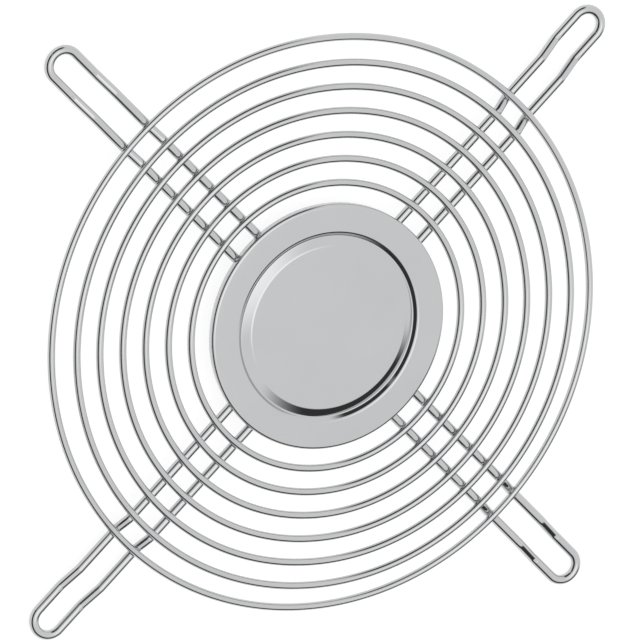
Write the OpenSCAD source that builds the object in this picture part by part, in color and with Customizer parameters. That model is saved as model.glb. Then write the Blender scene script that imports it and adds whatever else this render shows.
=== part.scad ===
// Wire finger guard for a 119 mm axial fan. Seven round rings lie across four
// hairpin legs, and a pressed steel disc covers the fan's hub. Each leg steps
// down twice on its way out and ends in a loop that takes an M4 screw.
// The loops lie on z = 0, the legs run along X and Y, and Z is the fan's axis.

/* [Rings] */
// Diameter of the ring wire
ring_wire_d = 1.5; // [1.3:0.1:1.8]
// Centreline diameter of the outer ring
outer_ring_d = 116; // [108:0.5:122]
// Clear gap between the disc's edge and the inner ring
hub_gap = 3.3; // [2.5:0.1:4]

/* [Legs] */
// Diameter of the leg wire
leg_wire_d = 1.9; // [1.7:0.1:2.2]
// Clear width between the two wires of a leg, for an M4 screw
slot_w = 4.4; // [4.2:0.1:5]
// Side of the square on which the fan's four screws stand
screw_square = 104.8; // [104:0.1:106]
// Reach of each loop beyond its screw's axis
loop_overhang = 9; // [8:0.5:11]
// Length of each loop that lies flat on the fan
loop_flat_l = 10.2; // [9.4:0.1:11.4]

/* [Joggles] */
// Drop of each leg between the outer two rings
inner_joggle_h = 1.25; // [1:0.05:1.4]
// Bend radius of that drop, at the wire's centreline
inner_joggle_r = 1.7; // [1.4:0.1:2]
// Straight wire left between that drop and the middle of each ring beside it
joggle_margin = 0.5; // [0.3:0.05:0.6]
// Drop of each leg down to its loop
outer_joggle_h = 1.2; // [1:0.05:1.5]
// Bend radius of that drop, at the wire's centreline
outer_joggle_r = 2.5; // [1.5:0.25:4]
// Length of that drop along the leg
outer_joggle_l = 5.5; // [5:0.1:7]

/* [Hub disc] */
// Diameter of the disc
disc_d = 50; // [47:0.5:52]
// Thickness of the disc's sheet
disc_t = 1.5; // [1.2:0.1:1.8]
// Rounding of the disc's upper edge
disc_edge_r = 0.7; // [0.3:0.1:0.9]
// Diameter of the flat pad inside the pressed groove
pad_d = 32.7; // [30.5:0.1:33.5]
// Depth of the groove
groove_depth = 0.75; // [0.6:0.05:0.9]
// Slope in degrees of the groove's long inner side
inner_slope = 23; // [20:1:28]
// Slope in degrees of the groove's short outer side
outer_slope = 46; // [40:1:52]
// Rounding of the pad's edge
pad_edge_r = 1.2; // [0.6:0.1:1.5]
// Rounding of the groove's outer edge
groove_edge_r = 0.8; // [0.4:0.1:1]
// Rounding of the groove's bottom
groove_bottom_r = 0.3; // [0.2:0.05:0.4]

/* [Welds] */
// How far each ring is pressed into the leg wires
ring_set_down = 0.4; // [0.2:0.05:0.5]
// How far the disc is pressed into the leg wires
disc_set_down = 0.12; // [0.06:0.02:0.2]
// Clearance from the groove's bulge to the ends of the leg wires
leg_end_gap = 0.3; // [0.2:0.05:0.6]

/* [Hidden] */

steel = [0.8, 0.8, 0.81];
ring_count = 7;
wire_fn = 24;
ring_fn = 144;
section_fn = 96;
cut_over = 1;

// A bend is this much thicker than the straight wire, which runs into it by lap
bend_swell = 0.01;
lap = 0.05;

// Heights of the wires' centrelines
loop_z = leg_wire_d / 2;
middle_leg_z = loop_z + outer_joggle_h;
inner_leg_z = middle_leg_z + inner_joggle_h;
ring_lift = (leg_wire_d + ring_wire_d) / 2 - ring_set_down;
outer_ring_z = middle_leg_z + ring_lift;
inner_rings_z = inner_leg_z + ring_lift;

// Radii of the rings, which share one pitch between the outer ring and the disc
disc_r = disc_d / 2;
outer_ring_r = outer_ring_d / 2;
inner_ring_r = disc_r + hub_gap + ring_wire_d / 2;
ring_pitch = (outer_ring_r - inner_ring_r) / (ring_count - 1);

// Stations along a leg, as distances from the guard's axis
loop_reach = screw_square / sqrt(2) + loop_overhang;
leg_half = (slot_w + leg_wire_d) / 2;
loop_centre = loop_reach - leg_wire_d / 2 - leg_half;
outer_joggle_end = loop_reach - loop_flat_l;
outer_joggle_start = outer_joggle_end - outer_joggle_l;
inner_joggle_start = outer_ring_r - ring_pitch + joggle_margin;
inner_joggle_l = ring_pitch - 2 * joggle_margin;

// Section of the disc, from its underside: the groove falls gently from the pad,
// turns about a small radius and climbs steeply to the face. The bulge below it
// has the same slopes, moved out by the sheet's thickness.
disc_z = inner_leg_z + leg_wire_d / 2 - disc_set_down;
pad_r = pad_d / 2;
groove_bottom = pad_r + slope_run(groove_depth, pad_edge_r + groove_bottom_r, inner_slope);
groove_end = groove_bottom + slope_run(groove_depth, groove_edge_r + groove_bottom_r, outer_slope);
groove_centre = disc_t - groove_depth + groove_bottom_r;
bulge_r = groove_bottom_r + disc_t;
bulge_reach = bulge_r / sin(outer_slope) - groove_centre / tan(outer_slope);
leg_start = groove_bottom + bulge_reach + leg_end_gap;

// Level length of a side that falls by h at angle a, where r is the sum of the
// bend radii at its two ends
function slope_run(h, r, a) = r * sin(a) + (h - r * (1 - cos(a))) / tan(a);

// Radius of ring n, counted from the outside
function ring_r(n) = outer_ring_r - (n - 1) * ring_pitch;

// Height of ring n: the outer ring lies one joggle lower than the others
function ring_z(n) = n == 1 ? outer_ring_z : inner_rings_z;

// Angle at which two equal and opposite bends of radius r, over a length l,
// step a wire down by h
function joggle_angle(h, r, l) =
    asin(2 * r / norm([l, 2 * r - h])) - atan2(2 * r - h, l);

// Length of the straight wire between those two bends
function joggle_straight(h, r, l) = sqrt(l * l + h * h - 4 * r * h);

module ring_wire(n) {
    translate([0, 0, ring_z(n)])
        rotate_extrude($fn = ring_fn)
            translate([ring_r(n), 0])
                circle(d = ring_wire_d, $fn = wire_fn);
}

module guard_ring(n) {
    color(steel) ring_wire(n);
}

// Straight leg wire of length l from a point along the slope of angle fall,
// which runs into the bends at both its ends
module slope(at, fall, l) {
    translate(at)
        rotate([0, 90 + fall, 0])
            translate([0, 0, -lap])
                cylinder(d = leg_wire_d, h = l + 2 * lap, $fn = wire_fn);
}

// Level leg wire from x0 to x1 at height z
module level(x0, x1, z) {
    slope([x0, 0, z], 0, x1 - x0);
}

// Bent leg wire about an axis along Y: it starts at angle from, measured from
// +X towards +Z, and turns through angle turn
module bend(r, from, turn) {
    rotate([90, 0, 0])
        rotate([0, 0, from])
            rotate_extrude(angle = turn, $fn = ring_fn)
                translate([r, 0])
                    circle(d = leg_wire_d + bend_swell, $fn = wire_fn);
}

// Step down by h between x0 and x0 + l, from a wire at height z
module joggle(x0, z, h, r, l) {
    turn = joggle_angle(h, r, l);
    translate([x0, 0, z - r])
        bend(r, 90 - turn, turn);
    slope([x0 + r * sin(turn), 0, z - r + r * cos(turn)], turn, joggle_straight(h, r, l));
    translate([x0 + l, 0, z - h + r])
        bend(r, 270 - turn, turn);
}

// One side of a leg, from its end under the disc to the start of its loop
module leg_side() {
    level(leg_start + lap, inner_joggle_start, inner_leg_z);
    joggle(inner_joggle_start, inner_leg_z, inner_joggle_h, inner_joggle_r, inner_joggle_l);
    level(inner_joggle_start + inner_joggle_l, outer_joggle_start, middle_leg_z);
    joggle(outer_joggle_start, middle_leg_z, outer_joggle_h, outer_joggle_r, outer_joggle_l);
    level(outer_joggle_end, loop_centre, loop_z);
}

module loop_end() {
    translate([loop_centre, 0, loop_z])
        rotate([0, 0, -90])
            rotate_extrude(angle = 180, $fn = ring_fn)
                translate([leg_half, 0])
                    circle(d = leg_wire_d + bend_swell, $fn = wire_fn);
}

module leg_wire() {
    for (side = [-1, 1])
        translate([0, side * leg_half, 0])
            leg_side();
    loop_end();
}

// Hairpin leg, with the seats that welding presses into its upper side
module leg(angle) {
    color(steel)
        rotate([0, 0, angle])
            difference() {
                leg_wire();
                for (n = [1 : ring_count])
                    ring_wire(n);
                translate([0, 0, disc_z])
                    cylinder(r = disc_r, h = leg_wire_d, $fn = ring_fn);
            }
}

// Hollow of the groove: what lies between its two sides and the face, less the
// rounding of its edges, with its round bottom
module groove_section() {
    difference() {
        polygon([
            [pad_r, disc_t + cut_over],
            [pad_r, disc_t - pad_edge_r],
            [pad_r + pad_edge_r * sin(inner_slope), disc_t - pad_edge_r * (1 - cos(inner_slope))],
            [groove_bottom - groove_bottom_r * sin(inner_slope),
                groove_centre - groove_bottom_r * cos(inner_slope)],
            [groove_bottom + groove_bottom_r * sin(outer_slope),
                groove_centre - groove_bottom_r * cos(outer_slope)],
            [groove_end - groove_edge_r * sin(outer_slope),
                disc_t - groove_edge_r * (1 - cos(outer_slope))],
            [groove_end, disc_t - groove_edge_r],
            [groove_end, disc_t + cut_over]
        ]);
        translate([pad_r, disc_t - pad_edge_r])
            circle(r = pad_edge_r, $fn = section_fn);
        translate([groove_end, disc_t - groove_edge_r])
            circle(r = groove_edge_r, $fn = section_fn);
    }
    translate([groove_bottom, groove_centre])
        circle(r = groove_bottom_r, $fn = section_fn);
}

// Bulge under the groove, up to the middle of the sheet
module bulge_section() {
    intersection() {
        translate([groove_bottom, groove_centre])
            union() {
                circle(r = bulge_r, $fn = section_fn);
                polygon([
                    [-bulge_r / sin(inner_slope), 0],
                    [-bulge_r * sin(inner_slope), -bulge_r * cos(inner_slope)],
                    [bulge_r * sin(outer_slope), -bulge_r * cos(outer_slope)],
                    [bulge_r / sin(outer_slope), 0]
                ]);
            }
        translate([0, disc_t / 2 - bulge_r])
            square([disc_r, bulge_r]);
    }
}

module disc_section() {
    difference() {
        union() {
            square([disc_r - disc_edge_r, disc_t]);
            square([disc_r, disc_t - disc_edge_r]);
            translate([disc_r - disc_edge_r, disc_t - disc_edge_r])
                circle(r = disc_edge_r, $fn = section_fn);
            bulge_section();
        }
        groove_section();
    }
}

module hub_disc() {
    color(steel)
        translate([0, 0, disc_z])
            rotate_extrude($fn = ring_fn)
                disc_section();
}

module outer_ring() guard_ring(1);
module ring_2() guard_ring(2);
module ring_3() guard_ring(3);
module ring_4() guard_ring(4);
module ring_5() guard_ring(5);
module ring_6() guard_ring(6);
module inner_ring() guard_ring(7);

module leg_right() leg(0);
module leg_back() leg(90);
module leg_left() leg(180);
module leg_front() leg(270);

hub_disc();
outer_ring();
ring_2();
ring_3();
ring_4();
ring_5();
ring_6();
inner_ring();
leg_right();
leg_back();
leg_left();
leg_front();
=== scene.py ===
"""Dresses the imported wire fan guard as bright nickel-chrome plate in a plain white studio.

The guard is welded up from seven rings and four hairpin legs of drawn steel wire and a pressed
steel disc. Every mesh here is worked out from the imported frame's boxes and a few of the maker's
own sizes, in millimetres, and stands in the frame's place with nothing moved or resized.
"""

import logging
import math
from dataclasses import dataclass, field
from enum import Enum
from typing import Any

import bpy
import numpy as np
from mathutils import Matrix, Vector


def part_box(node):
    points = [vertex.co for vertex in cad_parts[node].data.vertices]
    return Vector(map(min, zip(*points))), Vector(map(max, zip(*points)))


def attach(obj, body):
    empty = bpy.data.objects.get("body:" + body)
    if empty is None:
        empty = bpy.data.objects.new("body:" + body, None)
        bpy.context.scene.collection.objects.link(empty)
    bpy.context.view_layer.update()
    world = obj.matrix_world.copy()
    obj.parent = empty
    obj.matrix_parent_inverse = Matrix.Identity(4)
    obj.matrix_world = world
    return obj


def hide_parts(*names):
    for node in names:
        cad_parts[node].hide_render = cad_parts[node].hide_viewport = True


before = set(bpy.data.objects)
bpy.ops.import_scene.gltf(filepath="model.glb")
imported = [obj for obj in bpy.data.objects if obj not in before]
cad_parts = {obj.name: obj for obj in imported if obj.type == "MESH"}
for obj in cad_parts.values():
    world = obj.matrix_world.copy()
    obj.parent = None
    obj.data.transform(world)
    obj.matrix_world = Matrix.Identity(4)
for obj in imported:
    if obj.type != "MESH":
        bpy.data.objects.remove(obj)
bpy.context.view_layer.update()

LOG = logging.getLogger("fan_guard")
MM = 0.001
ROOT_BODY = "root"
LENGTH_MAP = "length_mm"
# Blender's noise hardly leaves this range, so it is spread over the whole of what it drives.
NOISE_LOW, NOISE_HIGH = 0.3, 0.7
BEAD_SUFFIX = "_weld_beads"

Array = np.ndarray


class Slot(Enum):
    """Material slots of the record, one named for each piece; the finishes are not taken from them."""

    RING_WIRE = "ring_wire"
    LEG_WIRE = "leg_wire"
    DISC_PLATE = "disc_plate"


# --------------------------------------------------------------------------- small tools


def linear(hex_colour: str) -> tuple[float, float, float, float]:
    """Turns an sRGB hex colour into linear light.

    Args:
        hex_colour: Six hex digits, such as "C4C4C6".

    Returns:
        Red, green, blue and an alpha of one.
    """
    parts = [int(hex_colour[i : i + 2], 16) / 255 for i in (0, 2, 4)]
    red, green, blue = (p / 12.92 if p <= 0.04045 else ((p + 0.055) / 1.055) ** 2.4 for p in parts)
    return red, green, blue, 1.0


def add_node(tree: Any, kind: str, settings: dict | None = None, inputs: dict | None = None) -> Any:
    """Adds a shader node with its settings and links.

    Args:
        tree: The node tree.
        kind: The node's type, such as "ShaderNodeMath".
        settings: Properties of the node by name.
        inputs: Values or output sockets by the input's name or number.

    Returns:
        The new node.
    """
    node = tree.nodes.new(kind)
    for name, value in (settings or {}).items():
        setattr(node, name, value)
    for key, value in (inputs or {}).items():
        if isinstance(value, bpy.types.NodeSocket):
            tree.links.new(value, node.inputs[key])
        else:
            node.inputs[key].default_value = value
    return node


def make_object(name: str, points: Array, faces: list, lengths: Array | None = None) -> Any:
    """Makes a smooth mesh object from points in millimetres.

    Args:
        name: The piece's name.
        points: One row of x, y, z a vertex.
        faces: Vertex numbers a face.
        lengths: Two lengths in millimetres a face corner, along and across the surface.

    Returns:
        The object, linked to the scene.
    """
    mesh = bpy.data.meshes.new(name)
    mesh.from_pydata((points * MM).tolist(), [], faces)
    if lengths is not None:
        layer = mesh.uv_layers.new(name=LENGTH_MAP)
        layer.data.foreach_set("uv", np.asarray(lengths, dtype=np.float32).ravel())
    mesh.polygons.foreach_set("use_smooth", [True] * len(mesh.polygons))
    mesh.update()
    piece = bpy.data.objects.new(name, mesh)
    bpy.context.scene.collection.objects.link(piece)
    return piece


def place(piece: Any, finish: Any, slot: Slot, *nodes: str) -> None:
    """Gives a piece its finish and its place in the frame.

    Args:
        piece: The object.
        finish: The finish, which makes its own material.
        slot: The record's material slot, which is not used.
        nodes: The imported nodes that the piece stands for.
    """
    piece.data.materials.append(finish.material())
    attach(piece, ROOT_BODY)
    if nodes:
        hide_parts(*nodes)
    LOG.info("%s: %d faces", piece.name, len(piece.data.polygons))


def smoothed(values: Array) -> Array:
    """Rounds off the creases of a field, which would otherwise pinch its surface.

    Args:
        values: The field on a regular grid.

    Returns:
        The field after one light blur along each axis.
    """
    for axis in range(3):
        edged = np.pad(np.moveaxis(values, axis, 0), ((1, 1), (0, 0), (0, 0)), mode="edge")
        values = np.moveaxis((edged[:-2] + 2 * edged[1:-1] + edged[2:]) / 4, 0, axis)
    return values


def surface_net(values: Array, low: Array, step: float) -> tuple[Array, Array]:
    """Turns a grid of distances into a closed surface where the distance is zero.

    Args:
        values: Distances on a grid with even steps, less than zero inside.
        low: The grid's first corner.
        step: The grid's step.

    Returns:
        The points and the four-sided faces.
    """
    inside = values < 0
    cells = tuple(n - 1 for n in values.shape)
    total, count = np.zeros((*cells, 3)), np.zeros(cells)
    corner = np.stack(np.meshgrid(*(np.arange(n, dtype=float) for n in cells), indexing="ij"), -1)
    crossings = []
    for axis in range(3):
        first, second = np.moveaxis(values, axis, 0)[:-1], np.moveaxis(values, axis, 0)[1:]
        crossed = np.moveaxis(inside, axis, 0)[:-1] != np.moveaxis(inside, axis, 0)[1:]
        share = first / np.where(crossed, first - second, 1.0)
        crossings.append(np.moveaxis(crossed, 0, axis))
        crossed, share = np.moveaxis(crossed, 0, axis), np.moveaxis(share, 0, axis)
        others = [a for a in range(3) if a != axis]
        for shift in ((0, 0), (0, 1), (1, 0), (1, 1)):
            cut = [slice(None)] * 3
            for other, by in zip(others, shift):
                cut[other] = slice(by, by + cells[other])
            hit = crossed[tuple(cut)]
            offset = np.zeros((*cells, 3))
            offset[..., axis] = share[tuple(cut)]
            offset[..., others[0]], offset[..., others[1]] = shift
            total += np.where(hit[..., None], corner + offset, 0.0)
            count += hit
    used = count > 0
    number = np.full(cells, -1)
    number[used] = np.arange(used.sum())
    faces = []
    for axis, crossed in enumerate(crossings):
        a, b = (axis + 1) % 3, (axis + 2) % 3
        edge = np.argwhere(crossed)
        edge = edge[(edge[:, a] > 0) & (edge[:, b] > 0)]
        edge = edge[(edge[:, a] < values.shape[a] - 1) & (edge[:, b] < values.shape[b] - 1)]
        quad = []
        for back_a, back_b in ((1, 1), (0, 1), (0, 0), (1, 0)):
            cell = edge.copy()
            cell[:, a] -= back_a
            cell[:, b] -= back_b
            quad.append(number[tuple(cell.T)])
        quad = np.stack(quad, 1)
        flip = ~inside[tuple(edge.T)]
        quad[flip] = quad[flip][:, ::-1]
        faces.append(quad)
    return low + step * total[used] / count[used][:, None], np.concatenate(faces)


# --------------------------------------------------------------------------- finishes


@dataclass(frozen=True)
class PlatedSteel:
    """Bright nickel-chrome plate on steel.

    Electroplated chromium over nickel is a near mirror that gives back a little over half of the
    light, hardly tinted. The eye reads it by what it reflects; what is its own is a faint unevenness
    of the gloss, and the steel's own marks below the plate, which the thin plate follows.
    """

    name: str
    colour: str = "C8C8C9"
    deep_colour: str = "BFC0C1"
    roughness: float = 0.03
    roughness_spread: float = 0.05
    cloud_mm: float = 9.0
    mark_along_mm: float = 6.0
    mark_across_mm: float = 0.12
    mark_depth_mm: float = 0.0006

    def material(self) -> Any:
        """Makes the material, or finds it where it is made already.

        Returns:
            The Blender material.
        """
        made = bpy.data.materials.get(self.name)
        if made:
            return made
        made = bpy.data.materials.new(self.name)
        made.use_nodes = True
        tree = made.node_tree
        tree.nodes.clear()
        place_xyz = add_node(tree, "ShaderNodeTexCoord").outputs["Object"]
        clouds = add_node(
            tree,
            "ShaderNodeTexNoise",
            inputs={"Vector": place_xyz, "Scale": 1 / (self.cloud_mm * MM), "Detail": 3.0},
        ).outputs["Fac"]
        gloss = add_node(
            tree,
            "ShaderNodeMapRange",
            inputs={
                "Value": clouds,
                "From Min": NOISE_LOW,
                "From Max": NOISE_HIGH,
                "To Min": self.roughness,
                "To Max": self.roughness + self.roughness_spread,
            },
        ).outputs["Result"]
        tint = add_node(
            tree,
            "ShaderNodeMix",
            settings={"data_type": "RGBA"},
            inputs={"Factor": clouds, 6: linear(self.colour), 7: linear(self.deep_colour)},
        ).outputs[2]
        along = add_node(
            tree,
            "ShaderNodeMapping",
            inputs={
                "Vector": add_node(tree, "ShaderNodeUVMap", settings={"uv_map": LENGTH_MAP}).outputs["UV"],
                "Scale": (1 / self.mark_along_mm, 1 / self.mark_across_mm, 1.0),
            },
        ).outputs["Vector"]
        marks = add_node(
            tree, "ShaderNodeTexNoise", inputs={"Vector": along, "Scale": 1.0, "Detail": 4.0}
        ).outputs["Fac"]
        bump = add_node(
            tree,
            "ShaderNodeBump",
            inputs={"Height": marks, "Strength": 1.0, "Distance": self.mark_depth_mm * MM},
        ).outputs["Normal"]
        shader = add_node(
            tree,
            "ShaderNodeBsdfPrincipled",
            inputs={"Base Color": tint, "Metallic": 1.0, "Roughness": gloss, "Normal": bump},
        )
        add_node(tree, "ShaderNodeOutputMaterial", inputs={"Surface": shader.outputs["BSDF"]})
        return made


# Wire is drawn through a die, which leaves faint straight lines along it.
DRAWN_RING = PlatedSteel("nickel_chrome_drawn_ring_wire")
DRAWN_LEG = PlatedSteel("nickel_chrome_drawn_leg_wire", mark_across_mm=0.15)
# Sheet is cold rolled and pressed, so the plate on it is smooth with a faint broad unevenness.
PRESSED_SHEET = PlatedSteel(
    "nickel_chrome_pressed_sheet",
    roughness=0.045,
    roughness_spread=0.035,
    cloud_mm=14.0,
    mark_along_mm=1.6,
    mark_across_mm=1.2,
    mark_depth_mm=0.0008,
)
# A resistance weld squeezes out a thin bead, which is duller and a little darker under the plate.
WELD_BEAD = PlatedSteel(
    "nickel_chrome_weld_bead",
    deep_colour="A6A7AA",
    roughness=0.12,
    roughness_spread=0.15,
    cloud_mm=0.8,
    mark_along_mm=0.5,
    mark_across_mm=0.5,
    mark_depth_mm=0.004,
)


# --------------------------------------------------------------------------- wire shapes


@dataclass
class WirePath:
    """The centreline of a wire, drawn as lines and bends in one pass of a pen."""

    points: list[Array] = field(default_factory=list)
    line_step: float = 1.0
    bend_step_deg: float = 4.0

    def line_to(self, end: Array, step: float | None = None) -> None:
        """Draws a straight line from the last point.

        Args:
            end: The point that the line ends at.
            step: The spacing of the line's points, where it isn't the path's own.
        """
        if not self.points:
            self.points.append(end)
            return
        start = self.points[-1]
        count = max(1, math.ceil(np.linalg.norm(end - start) / (step or self.line_step)))
        self.points += [start + (end - start) * i / count for i in range(1, count + 1)]

    def bend(self, centre: Array, across: Array, turn_deg: float) -> None:
        """Draws a circular bend from the last point.

        Args:
            centre: The bend's centre.
            across: The direction of travel at the bend's start, as a unit vector.
            turn_deg: The angle through which the bend turns.
        """
        arm = self.points[-1] - centre
        radius = np.linalg.norm(arm)
        count = max(2, math.ceil(turn_deg / self.bend_step_deg))
        for i in range(1, count + 1):
            angle = math.radians(turn_deg * i / count)
            self.points.append(centre + arm * math.cos(angle) + across * radius * math.sin(angle))


def tube(path: Array, radii: Array, sides: int, closed: bool) -> tuple[Array, list, Array]:
    """Sweeps a round section along a path.

    Args:
        path: The centreline's points, one a row.
        radii: The wire's radius at each point.
        sides: How many sides the section has.
        closed: Whether the path runs back into its start.

    Returns:
        The points, the faces and the lengths along and around at each face corner.
    """
    count = len(path)
    if closed:
        tangents = np.roll(path, -1, 0) - np.roll(path, 1, 0)
    else:
        tangents = np.gradient(path, axis=0)
    tangents /= np.linalg.norm(tangents, axis=1, keepdims=True)
    normal = np.cross(tangents[0], np.array([0.0, 0.0, 1.0]))
    normal /= np.linalg.norm(normal)
    turns = np.linspace(0, 2 * math.pi, sides, endpoint=False)
    rows = []
    for centre, tangent, radius in zip(path, tangents, radii):
        normal = normal - tangent * normal.dot(tangent)
        normal /= np.linalg.norm(normal)
        side = np.cross(tangent, normal)
        rows.append(centre + radius * (np.outer(np.cos(turns), normal) + np.outer(np.sin(turns), side)))
    points = np.concatenate(rows)
    steps = np.linalg.norm(np.diff(path, axis=0), axis=1)
    along = np.concatenate([[0.0], np.cumsum(steps)])
    last = float(np.linalg.norm(path[0] - path[-1])) if closed else 0.0
    around = np.arange(sides + 1) * 2 * math.pi * float(radii[0]) / sides
    faces, lengths = [], []
    for i in range(count if closed else count - 1):
        j = (i + 1) % count
        a, b = along[i], along[i] + (steps[i] if i < count - 1 else last)
        for k in range(sides):
            m = (k + 1) % sides
            faces.append((i * sides + k, i * sides + m, j * sides + m, j * sides + k))
            lengths += [(a, around[k]), (a, around[k + 1]), (b, around[k + 1]), (b, around[k])]
    if not closed:
        faces.append(tuple(range(sides - 1, -1, -1)))
        faces.append(tuple((count - 1) * sides + k for k in range(sides)))
        lengths += [(0.0, around[k]) for k in range(sides)] * 2
    return points, faces, np.array(lengths)


@dataclass
class GuardRing:
    """One round ring of drawn wire, closed by a butt weld."""

    node: str
    sides: int = 32
    steps: int = 360
    radius: float = field(init=False)
    height: float = field(init=False)
    wire_r: float = field(init=False)

    def __post_init__(self) -> None:
        """Takes the ring's sizes from its packed box."""
        low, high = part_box(self.node)
        self.wire_r = (high[2] - low[2]) / 2 / MM
        self.height = (high[2] + low[2]) / 2 / MM
        self.radius = (high[0] - low[0]) / 2 / MM - self.wire_r

    def distance(self, points: Array) -> Array:
        """Distance from each point to the ring's surface, less than zero inside it."""
        out = np.hypot(points[:, 0], points[:, 1]) - self.radius
        return np.hypot(out, points[:, 2] - self.height) - self.wire_r

    def build(self) -> Any:
        """Makes the ring's mesh and dresses it.

        Returns:
            The piece.
        """
        turns = np.linspace(0, 2 * math.pi, self.steps, endpoint=False)
        path = np.stack(
            [self.radius * np.cos(turns), self.radius * np.sin(turns), np.full_like(turns, self.height)], 1
        )
        points, faces, lengths = tube(path, np.full(self.steps, self.wire_r), self.sides, closed=True)
        piece = make_object(f"{self.node}_wire", points, faces, lengths)
        place(piece, DRAWN_RING, Slot.RING_WIRE, self.node)
        return piece


@dataclass
class Joggle:
    """A small step in a leg: two equal and opposite bends with straight wire between them."""

    start: float
    length: float
    drop: float
    bend_r: float

    @property
    def end(self) -> float:
        """Station at which the wire is level again."""
        return self.start + self.length

    @property
    def turn_deg(self) -> float:
        """Works out the angle through which each bend turns.

        Returns:
            The angle in degrees.
        """
        reach = math.hypot(self.length, 2 * self.bend_r - self.drop)
        slope = math.asin(2 * self.bend_r / reach) - math.atan2(2 * self.bend_r - self.drop, self.length)
        return math.degrees(slope)


@dataclass
class HairpinLeg:
    """One leg: a wire bent back on itself, with two joggles and a loop for a screw."""

    node: str
    angle_deg: float
    joggles: tuple[Joggle, Joggle]
    sides: int = 36
    wire_r: float = 0.95
    near_mm: float = 5.0
    mark_depth: float = 0.05
    mark_half: float = 0.35
    mark_shift: float = 0.3
    mark_rise: float = 4.0
    marked_mm: float = 1.5
    fine_step: float = 0.08

    def __post_init__(self) -> None:
        """Takes the leg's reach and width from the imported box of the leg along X."""
        low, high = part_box("leg_right")
        self.start = low[0] / MM
        self.reach = high[0] / MM
        self.half = high[1] / MM - self.wire_r
        inner, outer = self.joggles
        self.loop_z = self.wire_r
        self.middle_z = self.loop_z + outer.drop
        self.inner_z = self.middle_z + inner.drop

    def path(self) -> Array:
        """Draws the leg along X, out on one side, round the loop and back.

        Returns:
            The centreline's points, one a row.
        """
        side = WirePath()
        side.line_to(np.array([self.start, -self.half, self.inner_z]))
        height = self.inner_z
        for step in self.joggles:
            turn = math.radians(step.turn_deg)
            side.line_to(np.array([step.start, -self.half, height]))
            first = np.array([step.start, -self.half, height - step.bend_r])
            side.bend(first, np.array([1.0, 0.0, 0.0]), step.turn_deg)
            height -= step.drop
            second = np.array([step.end, -self.half, height + step.bend_r])
            side.line_to(second - step.bend_r * np.array([math.sin(turn), 0.0, math.cos(turn)]))
            side.bend(second, np.array([math.cos(turn), 0.0, -math.sin(turn)]), step.turn_deg)
        side.line_to(side.points[-1] + np.array([self.marked_mm, 0.0, 0.0]), self.fine_step)
        loop_x = self.reach - self.wire_r - self.half
        side.line_to(np.array([loop_x, -self.half, height]))
        out = np.array(side.points)
        loop = WirePath(points=[out[-1]], bend_step_deg=3.0)
        loop.bend(np.array([loop_x, 0.0, height]), np.array([1.0, 0.0, 0.0]), 180.0)
        back = out[::-1] * np.array([1.0, -1.0, 1.0])
        return np.concatenate([out, np.array(loop.points[1:-1]), back])

    def turned(self, points: Array) -> Array:
        """Turns points from the leg's own axis to its place round the guard."""
        return points @ np.array(Matrix.Rotation(math.radians(self.angle_deg), 3, "Z")).T

    def distance(self, points: Array) -> Array:
        """Distance from points that lie close together to the wire's surface.

        Args:
            points: The points, in the leg's own axes.

        Returns:
            The distances, less than zero inside the wire.
        """
        path = self.path()
        near = np.linalg.norm(path - points.mean(0), axis=1) < self.near_mm
        keep = np.flatnonzero(near[:-1] | near[1:])
        found = np.full(len(points), np.inf)
        for start, run in zip(path[keep], path[keep + 1] - path[keep]):
            share = np.clip((points - start) @ run / run.dot(run), 0, 1)
            found = np.minimum(found, np.linalg.norm(points - start - share[:, None] * run, axis=1))
        return found - self.wire_r

    def press(self, points: Array) -> Array:
        """Presses the joggling die's shallow marks into the wire beside its lower bend.

        Args:
            points: The wire's points, in the leg's own axes.

        Returns:
            The points after pressing.
        """
        outer = self.joggles[1]
        top = self.loop_z + self.wire_r - self.mark_depth
        off = np.abs(points[:, 0] - outer.end - self.mark_shift) / self.mark_half
        lift = np.clip(off - 1, 0, None) ** 2 * self.mark_depth * self.mark_rise
        pressed = points.copy()
        level = points[:, 0] > outer.end + self.mark_shift - 2 * self.mark_half
        pressed[level, 2] = np.minimum(points[:, 2], top + lift)[level]
        return pressed

    def build(self) -> Any:
        """Makes the leg's mesh and dresses it.

        Returns:
            The piece.
        """
        path = self.path()
        points, faces, lengths = tube(path, np.full(len(path), self.wire_r), self.sides, closed=False)
        piece = make_object(f"{self.node}_wire", self.turned(self.press(points)), faces, lengths)
        place(piece, DRAWN_LEG, Slot.LEG_WIRE, self.node)
        return piece


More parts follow.
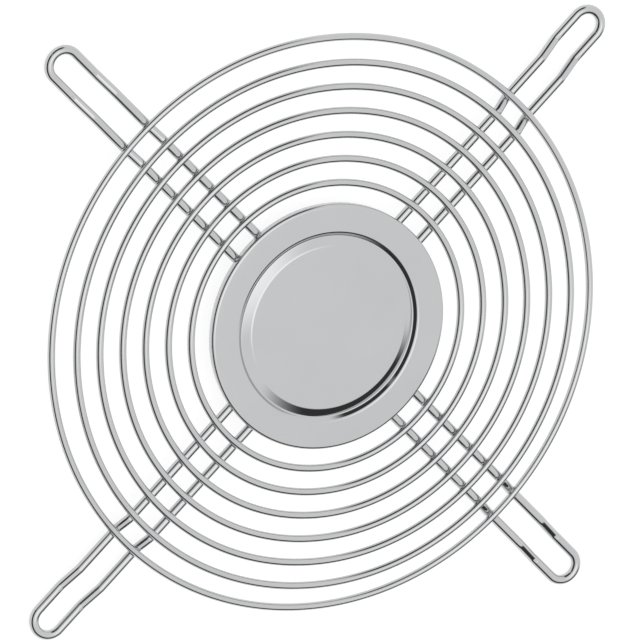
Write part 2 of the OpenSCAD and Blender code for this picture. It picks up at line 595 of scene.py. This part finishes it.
@dataclass
class WeldBeads:
    """The thin beads that resistance welding squeezes out along the seam with the leg wires."""

    legs: list[HairpinLeg]
    blend_mm: float = 0.5
    spread: float = 0.25
    ripple_mm: float = 0.06
    reach_mm: float = 1.75
    grid_mm: float = 0.1
    cover_mm: float = 0.02
    root_mm: float = 0.24
    trim_mm: float = 0.008
    trim_gain: float = 7.0
    ripples: int = 3
    ripple_turn: float = 2.0
    phase_spread: float = 6.3
    taper: float = 2.0
    thin_share: float = 0.05
    seed_step: int = 7

    @property
    def name(self) -> str:
        """Name of the piece that carries the beads."""
        raise NotImplementedError

    @property
    def seed(self) -> int:
        """Seed of the piece's small differences, from its name's length and the node's last letter."""
        return self.seed_step * len(self.name) + ord(self.name.removesuffix(BEAD_SUFFIX)[-1])

    def centre(self, leg: HairpinLeg, side: int) -> Array:
        """Middle of the seam with one wire of a leg, in the leg's own axes."""
        raise NotImplementedError

    def body(self, points: Array) -> Array:
        """Distance from each point to what the leg is welded to."""
        raise NotImplementedError

    def bead(self, leg: HairpinLeg, side: int, chance: np.random.Generator) -> tuple[Array, Array]:
        """Works out one bead.

        Args:
            leg: The leg that is welded.
            side: Minus one or one, for the leg's two wires.
            chance: The source of the small differences between beads.

        Returns:
            The points and faces, in the guard's place.
        """
        centre = self.centre(leg, side)
        axis = np.arange(-self.reach_mm, self.reach_mm + self.grid_mm, self.grid_mm)
        grid = np.stack(np.meshgrid(axis, axis, axis, indexing="ij"), -1)
        offsets = grid.reshape(-1, 3)
        body, wire = self.body(offsets + centre), leg.distance(offsets + centre)
        blend = self.blend_mm * (1 + self.spread * chance.uniform(-1, 1))
        for wave in chance.normal(size=(self.ripples, 3)):
            phase = chance.uniform(0, self.phase_spread)
            blend = blend + self.ripple_mm * np.sin(offsets @ wave * self.ripple_turn + phase)
        to_end = 1 - np.abs(offsets[:, 0]) / (self.reach_mm - 3 * self.grid_mm)
        blend = blend * np.clip(self.taper * to_end, self.thin_share, 1)
        # The bead fills the corner between the two surfaces. It is kept as a shell that
        # starts just below them, only where the filling is more than a film of trim_mm.
        closer = np.minimum(body, wire)
        filled = closer - np.clip(blend - np.abs(body - wire), 0, None) ** 2 / (4 * blend)
        lump = np.maximum(filled + self.cover_mm, -(closer + self.root_mm))
        lump = np.maximum(lump, self.trim_gain * (self.trim_mm - (closer - filled)))
        lump = np.maximum(lump, np.linalg.norm(offsets, axis=1) - self.reach_mm + 2 * self.grid_mm)
        lump = smoothed(lump.reshape(grid.shape[:3]))
        points, faces = surface_net(lump, centre + axis[0], self.grid_mm)
        return leg.turned(points), faces

    def build(self) -> Any:
        """Makes the beads as one mesh and dresses it.

        Returns:
            The piece.
        """
        chance = np.random.default_rng(self.seed)
        points, faces, count = [], [], 0
        for leg in self.legs:
            for side in (-1, 1):
                more, around = self.bead(leg, side, chance)
                points.append(more)
                faces.append(around + count)
                count += len(more)
        all_points, all_faces = np.concatenate(points), np.concatenate(faces)
        lengths = all_points[all_faces.ravel()][:, :2]
        piece = make_object(self.name, all_points, all_faces.tolist(), lengths)
        place(piece, WELD_BEAD, Slot.LEG_WIRE)
        return piece


@dataclass
class RingWelds(WeldBeads):
    """Beads where one ring lies across the eight leg wires."""

    ring: GuardRing | None = None

    @property
    def name(self) -> str:
        """Name of the piece that carries the beads."""
        return f"{self.ring.node}{BEAD_SUFFIX}"

    def centre(self, leg: HairpinLeg, side: int) -> Array:
        """Middle of the ring's seam with one wire of a leg.

        Args:
            leg: The leg that is welded.
            side: Minus one or one, for the leg's two wires.

        Returns:
            The point, in the leg's own axes.
        """
        across = side * leg.half
        along = math.sqrt(self.ring.radius**2 - across**2)
        path = leg.path()
        height = np.interp(along, path[: len(path) // 2, 0], path[: len(path) // 2, 2])
        return np.array([along, across, (height + leg.wire_r + self.ring.height - self.ring.wire_r) / 2])

    def body(self, points: Array) -> Array:
        """Distance from each point to the ring."""
        return self.ring.distance(points)


@dataclass
class DiscWelds(WeldBeads):
    """Beads where the ends of the leg wires are welded under the disc."""

    blend_mm: float = 0.6
    reach_mm: float = 2.1
    lap_share: float = 0.5
    sheet_t: float = 1.5
    node: str = "hub_disc"

    @property
    def name(self) -> str:
        """Name of the piece that carries the beads."""
        return f"{self.node}{BEAD_SUFFIX}"

    def centre(self, leg: HairpinLeg, side: int) -> Array:
        """Middle of the lap of one wire under the disc.

        Args:
            leg: The leg that is welded.
            side: Minus one or one, for the leg's two wires.

        Returns:
            The point, in the leg's own axes.
        """
        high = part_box(self.node)[1]
        rim = high[0] / MM
        along = leg.start + self.lap_share * (math.sqrt(rim**2 - leg.half**2) - leg.start)
        return np.array([along, side * leg.half, high[2] / MM - self.sheet_t])

    def body(self, points: Array) -> Array:
        """Distance from each point to the disc's underside and rim.

        Args:
            points: The points, in the leg's own axes.

        Returns:
            The distances, less than zero inside the disc.
        """
        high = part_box(self.node)[1]
        under = high[2] / MM - self.sheet_t - points[:, 2]
        return np.maximum(under, np.hypot(points[:, 0], points[:, 1]) - high[0] / MM)


# --------------------------------------------------------------------------- hub disc


@dataclass
class HubDisc:
    """The pressed disc that covers the fan's hub, with a groove pressed round its flat pad."""

    node: str = "hub_disc"
    sheet_t: float = 1.5
    edge_r: float = 0.7
    pad_r: float = 16.35
    groove_depth: float = 0.75
    inner_slope: float = 23.0
    outer_slope: float = 46.0
    pad_edge_r: float = 1.2
    groove_edge_r: float = 0.8
    groove_bottom_r: float = 0.3
    groove_spread: float = 0.03
    rim_start: float = 22.0
    slack: float = 0.001
    steps: int = 360
    arc_points: int = 14

    def arc(self, centre: tuple[float, float], radius: float, start: float, end: float) -> list:
        """Points of an arc in the section.

        Args:
            centre: The arc's centre, as radius and height.
            radius: The arc's radius.
            start: Angle of the first point in degrees.
            end: Angle of the last point in degrees.

        Returns:
            The points, as radius and height.
        """
        angles = np.radians(np.linspace(start, end, self.arc_points))
        return [(centre[0] + radius * math.cos(a), centre[1] + radius * math.sin(a)) for a in angles]

    def slope_run(self, radii: float, slope_deg: float) -> float:
        """Level length of one side of the groove.

        Args:
            radii: Sum of the bend radii at the side's two ends.
            slope_deg: The side's slope.

        Returns:
            The length from the face's last flat point to the groove's lowest.
        """
        slope = math.radians(slope_deg)
        fall = self.groove_depth - radii * (1 - math.cos(slope))
        return radii * math.sin(slope) + fall / math.tan(slope)

    def section(self) -> Array:
        """Draws the section from the axis out over the face and back under the sheet.

        Returns:
            The points, as radius and height.
        """
        low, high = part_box(self.node)
        rim = high[0] / MM
        face = high[2] / MM
        under = face - self.sheet_t
        inner, outer = self.inner_slope, self.outer_slope
        bottom = self.pad_r + self.slope_run(self.pad_edge_r + self.groove_bottom_r, inner)
        end = bottom + self.slope_run(self.groove_edge_r + self.groove_bottom_r, outer)
        middle = (bottom, face - self.groove_depth + self.groove_bottom_r)
        points = [(0.0, face)]
        points += self.arc((self.pad_r, face - self.pad_edge_r), self.pad_edge_r, 90, 90 - inner)
        points += self.arc(middle, self.groove_bottom_r, 270 - inner, 270 + outer)
        points += self.arc((end, face - self.groove_edge_r), self.groove_edge_r, 90 + outer, 90)
        points += self.arc((rim - self.edge_r, face - self.edge_r), self.edge_r, 90, 0)
        points += [(rim, under)]
        bulge_r = self.groove_bottom_r + self.sheet_t
        height = middle[1] - under
        for slope, side in ((outer, 1), (inner, -1)):
            turn = math.radians(slope)
            reach = bulge_r / math.sin(turn) - height / math.tan(turn)
            arc = self.arc(middle, bulge_r, 270 + side * slope, 270)
            edge = [(bottom + side * reach, under)]
            points += edge + arc if side > 0 else (arc[::-1][1:] + edge)
        points += [(0.0, under)]
        return np.array(points)

    def uneven(self, turns: Array) -> Array:
        """Share by which the pressed groove is deeper or shallower at each angle."""
        waves = ((2, 0.4), (3, 2.1), (5, 4.4), (9, 1.2))  # how many round the groove, and where each starts
        return sum(self.groove_spread / n**0.5 * np.sin(n * turns + start) for n, start in waves)

    def build(self) -> Any:
        """Turns the section round the axis and dresses the mesh.

        Returns:
            The piece.
        """
        section = self.section()
        ring = section[1:-1]
        turns = np.linspace(0, 2 * math.pi, self.steps, endpoint=False)
        face = section[0][1]
        rows = []
        for r, z in ring:
            grooved = self.pad_r < r < self.rim_start and z > face - self.groove_depth - self.slack
            deep = (face - z) * (1 + (self.uneven(turns) if grooved else 0.0))
            rows.append(np.stack([r * np.cos(turns), r * np.sin(turns), face - deep + 0 * turns], 1))
        points = np.concatenate([*rows, [[0, 0, section[0][1]]], [[0, 0, section[-1][1]]]])
        steps, top, bottom = self.steps, len(points) - 2, len(points) - 1
        faces = []
        for k in range(steps):
            m = (k + 1) % steps
            faces.append((top, k, m))
            for i in range(len(ring) - 1):
                faces.append((i * steps + k, (i + 1) * steps + k, (i + 1) * steps + m, i * steps + m))
            last = (len(ring) - 1) * steps
            faces.append((last + m, last + k, bottom))
        lengths = [(points[v][0], points[v][1]) for face in faces for v in face]
        piece = make_object(f"{self.node}_plate", points, faces, np.array(lengths))
        place(piece, PRESSED_SHEET, Slot.DISC_PLATE, self.node)
        return piece


# --------------------------------------------------------------------------- studio


class Light(Enum):
    """What a card of the surround is, and how bright, where the bare surround is 1."""

    SOFTBOX = 1.5
    BLACK_SCREEN = 0.05


@dataclass(frozen=True)
class Card:
    """A soft-edged patch of the surround, placed in degrees, which the metal reflects."""

    light: Light
    azimuth: float
    elevation: float
    width: float
    height: float


@dataclass
class Studio:
    """A plain pale floor, a soft surround and the camera."""

    azimuth: float = 190.97
    elevation: float = 60.42
    roll: float = 122.53
    distance_mm: float = 1658.6
    lens_mm: float = 476.3
    sensor_mm: float = 36.0
    aim_right_mm: float = -1.317
    aim_up_mm: float = 1.168
    clip_end_m: float = 100.0
    # The paper is a grey that lights the metal little from below and takes the guard's
    # shadow, and its own glow brings it to white where a camera or the metal sees it.
    paper_diffuse: float = 0.3
    paper_glow: float = 0.83
    floor_steps: int = 96
    # Radii and heights of the floor's outline, from its flat part up the low sweep.
    sweep_mm: tuple[tuple[float, float], ...] = ((2000, 0), (7400, 0), (7800, 50), (8000, 200), (8050, 500))
    # A bare surround of 1 shows the flat metal at its own colour. The softbox hangs
    # overhead, clear of what the flat disc mirrors, and is wider than a full turn so
    # that its soft edge makes no seam. The screens give the wires their dark edges.
    surround: float = 1.0
    card_softness: float = 8.0
    cards: tuple[Card, ...] = (
        Card(Light.SOFTBOX, azimuth=0, elevation=90, width=400, height=40),
        Card(Light.BLACK_SCREEN, azimuth=-80, elevation=20, width=200, height=40),
        Card(Light.BLACK_SCREEN, azimuth=150, elevation=20, width=60, height=40),
    )

    def camera(self) -> Any:
        """Makes the camera, which looks at the middle of the inner rings' plane.

        Returns:
            The camera.
        """
        low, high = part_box("inner_ring")
        target = Vector((0.0, 0.0, (low[2] + high[2]) / 2))
        azimuth, elevation = math.radians(self.azimuth), math.radians(self.elevation)
        back = Vector(
            (
                math.cos(azimuth) * math.cos(elevation),
                math.sin(azimuth) * math.cos(elevation),
                math.sin(elevation),
            )
        )
        turn = back.to_track_quat("Z", "Y").to_matrix() @ Matrix.Rotation(math.radians(self.roll), 3, "Z")
        aim = turn @ Vector((self.aim_right_mm, self.aim_up_mm, 0.0)) * MM
        data = bpy.data.cameras.new("camera")
        data.sensor_width = self.sensor_mm
        data.lens = self.lens_mm
        data.clip_end = self.clip_end_m
        camera = bpy.data.objects.new("camera", data)
        camera.matrix_world = Matrix.Translation(target + aim + back * self.distance_mm * MM) @ turn.to_4x4()
        bpy.context.scene.collection.objects.link(camera)
        bpy.context.scene.camera = camera
        return camera

    def floor(self) -> Any:
        """Makes the pale floor that the loops stand on, with a low sweep at its far edge.

        Returns:
            The floor.
        """
        turns = np.linspace(0, 2 * math.pi, self.floor_steps, endpoint=False)
        rows = [np.stack([r * np.cos(turns), r * np.sin(turns), 0 * turns + z], 1) for r, z in self.sweep_mm]
        steps, middle = self.floor_steps, len(self.sweep_mm) * self.floor_steps
        faces: list = [(middle, k, (k + 1) % steps) for k in range(steps)]
        for i in range(len(rows) - 1):
            for k in range(steps):
                m = (k + 1) % steps
                faces.append((i * steps + k, (i + 1) * steps + k, (i + 1) * steps + m, i * steps + m))
        floor = make_object("studio_floor", np.concatenate([*rows, [[0.0, 0.0, 0.0]]]), faces)
        made = bpy.data.materials.new("studio_paper")
        made.use_nodes = True
        tree = made.node_tree
        tree.nodes.clear()
        rays = add_node(tree, "ShaderNodeLightPath")
        seen = add_node(
            tree,
            "ShaderNodeMath",
            settings={"operation": "ADD"},
            inputs={0: rays.outputs["Is Camera Ray"], 1: rays.outputs["Is Glossy Ray"]},
        ).outputs[0]
        seen = add_node(
            tree,
            "ShaderNodeMath",
            settings={"operation": "ADD", "use_clamp": True},
            inputs={0: seen, 1: rays.outputs["Is Transmission Ray"]},
        ).outputs[0]
        grey = (self.paper_diffuse, self.paper_diffuse, self.paper_diffuse, 1.0)
        paper = add_node(tree, "ShaderNodeBsdfDiffuse", inputs={"Color": grey})
        lift = add_node(
            tree,
            "ShaderNodeMath",
            settings={"operation": "MULTIPLY"},
            inputs={0: seen, 1: self.paper_glow},
        ).outputs[0]
        glow = add_node(tree, "ShaderNodeEmission", inputs={"Strength": lift})
        both = add_node(tree, "ShaderNodeAddShader", inputs={0: paper.outputs[0], 1: glow.outputs[0]})
        add_node(tree, "ShaderNodeOutputMaterial", inputs={"Surface": both.outputs[0]})
        floor.data.materials.append(made)
        return floor

    def world(self) -> Any:
        """Makes the surround: an even dome with a softbox and dark screens on it.

        Returns:
            The world.
        """
        world = bpy.data.worlds.new("studio_surround")
        bpy.context.scene.world = world
        world.use_nodes = True
        tree = world.node_tree
        tree.nodes.clear()
        ray = add_node(tree, "ShaderNodeTexCoord").outputs["Generated"]
        height = add_node(tree, "ShaderNodeSeparateXYZ", inputs={0: ray}).outputs["Z"]
        elevation = add_node(
            tree, "ShaderNodeMath", settings={"operation": "ARCSINE"}, inputs={0: height}
        ).outputs[0]
        light: Any = self.surround
        for card in self.cards:
            turned = add_node(
                tree,
                "ShaderNodeVectorRotate",
                settings={"rotation_type": "Z_AXIS"},
                inputs={"Vector": ray, "Angle": -math.radians(card.azimuth)},
            ).outputs[0]
            xyz = add_node(tree, "ShaderNodeSeparateXYZ", inputs={0: turned})
            azimuth = add_node(
                tree,
                "ShaderNodeMath",
                settings={"operation": "ARCTAN2"},
                inputs={0: xyz.outputs["Y"], 1: xyz.outputs["X"]},
            ).outputs[0]
            mask: Any = 1.0
            for angle, middle, size in (
                (azimuth, 0.0, card.width),
                (elevation, math.radians(card.elevation), card.height),
            ):
                off = add_node(
                    tree, "ShaderNodeMath", settings={"operation": "SUBTRACT"}, inputs={0: angle, 1: middle}
                ).outputs[0]
                off = add_node(
                    tree, "ShaderNodeMath", settings={"operation": "ABSOLUTE"}, inputs={0: off}
                ).outputs[0]
                inside = add_node(
                    tree,
                    "ShaderNodeMapRange",
                    settings={"interpolation_type": "SMOOTHSTEP"},
                    inputs={
                        "Value": off,
                        "From Min": math.radians(size / 2 - self.card_softness),
                        "From Max": math.radians(size / 2 + self.card_softness),
                        "To Min": 1.0,
                        "To Max": 0.0,
                    },
                ).outputs["Result"]
                mask = add_node(
                    tree, "ShaderNodeMath", settings={"operation": "MULTIPLY"}, inputs={0: mask, 1: inside}
                ).outputs[0]
            light = add_node(
                tree,
                "ShaderNodeMix",
                settings={"data_type": "FLOAT"},
                inputs={0: mask, 2: light, 3: card.light.value},
            ).outputs[0]
        glow = add_node(
            tree, "ShaderNodeBackground", inputs={"Color": (1.0, 1.0, 1.0, 1.0), "Strength": light}
        )
        add_node(tree, "ShaderNodeOutputWorld", inputs={"Surface": glow.outputs[0]})
        bpy.context.scene.view_settings.view_transform = "Standard"
        return world

    def build(self) -> None:
        """Makes the camera, the floor and the surround."""
        self.camera()
        self.floor()
        self.world()


# --------------------------------------------------------------------------- the whole guard

RING_NODES = ("outer_ring", "ring_2", "ring_3", "ring_4", "ring_5", "ring_6", "inner_ring")
LEG_NODES = {"leg_right": 0.0, "leg_back": 90.0, "leg_left": 180.0, "leg_front": 270.0}
# The first joggle lies between the outer two rings, half a millimetre clear of their centrelines.
# The second ends 10.2 mm short of the loop's tip.
INNER_JOGGLE = Joggle(start=53.675, length=3.825, drop=1.25, bend_r=1.7)
OUTER_JOGGLE = Joggle(start=67.405, length=5.5, drop=1.2, bend_r=2.5)


def main() -> None:
    """Builds the studio and every piece of the guard, and reports each one."""
    logging.basicConfig(level=logging.INFO, format="%(message)s")
    Studio().build()
    HubDisc().build()
    rings = [GuardRing(node) for node in RING_NODES]
    legs = [HairpinLeg(node, angle, (INNER_JOGGLE, OUTER_JOGGLE)) for node, angle in LEG_NODES.items()]
    for leg in legs:
        leg.build()
    for ring in rings:
        ring.build()
        RingWelds(legs, ring=ring).build()
    DiscWelds(legs).build()


if __name__ == "__main__":
    main()
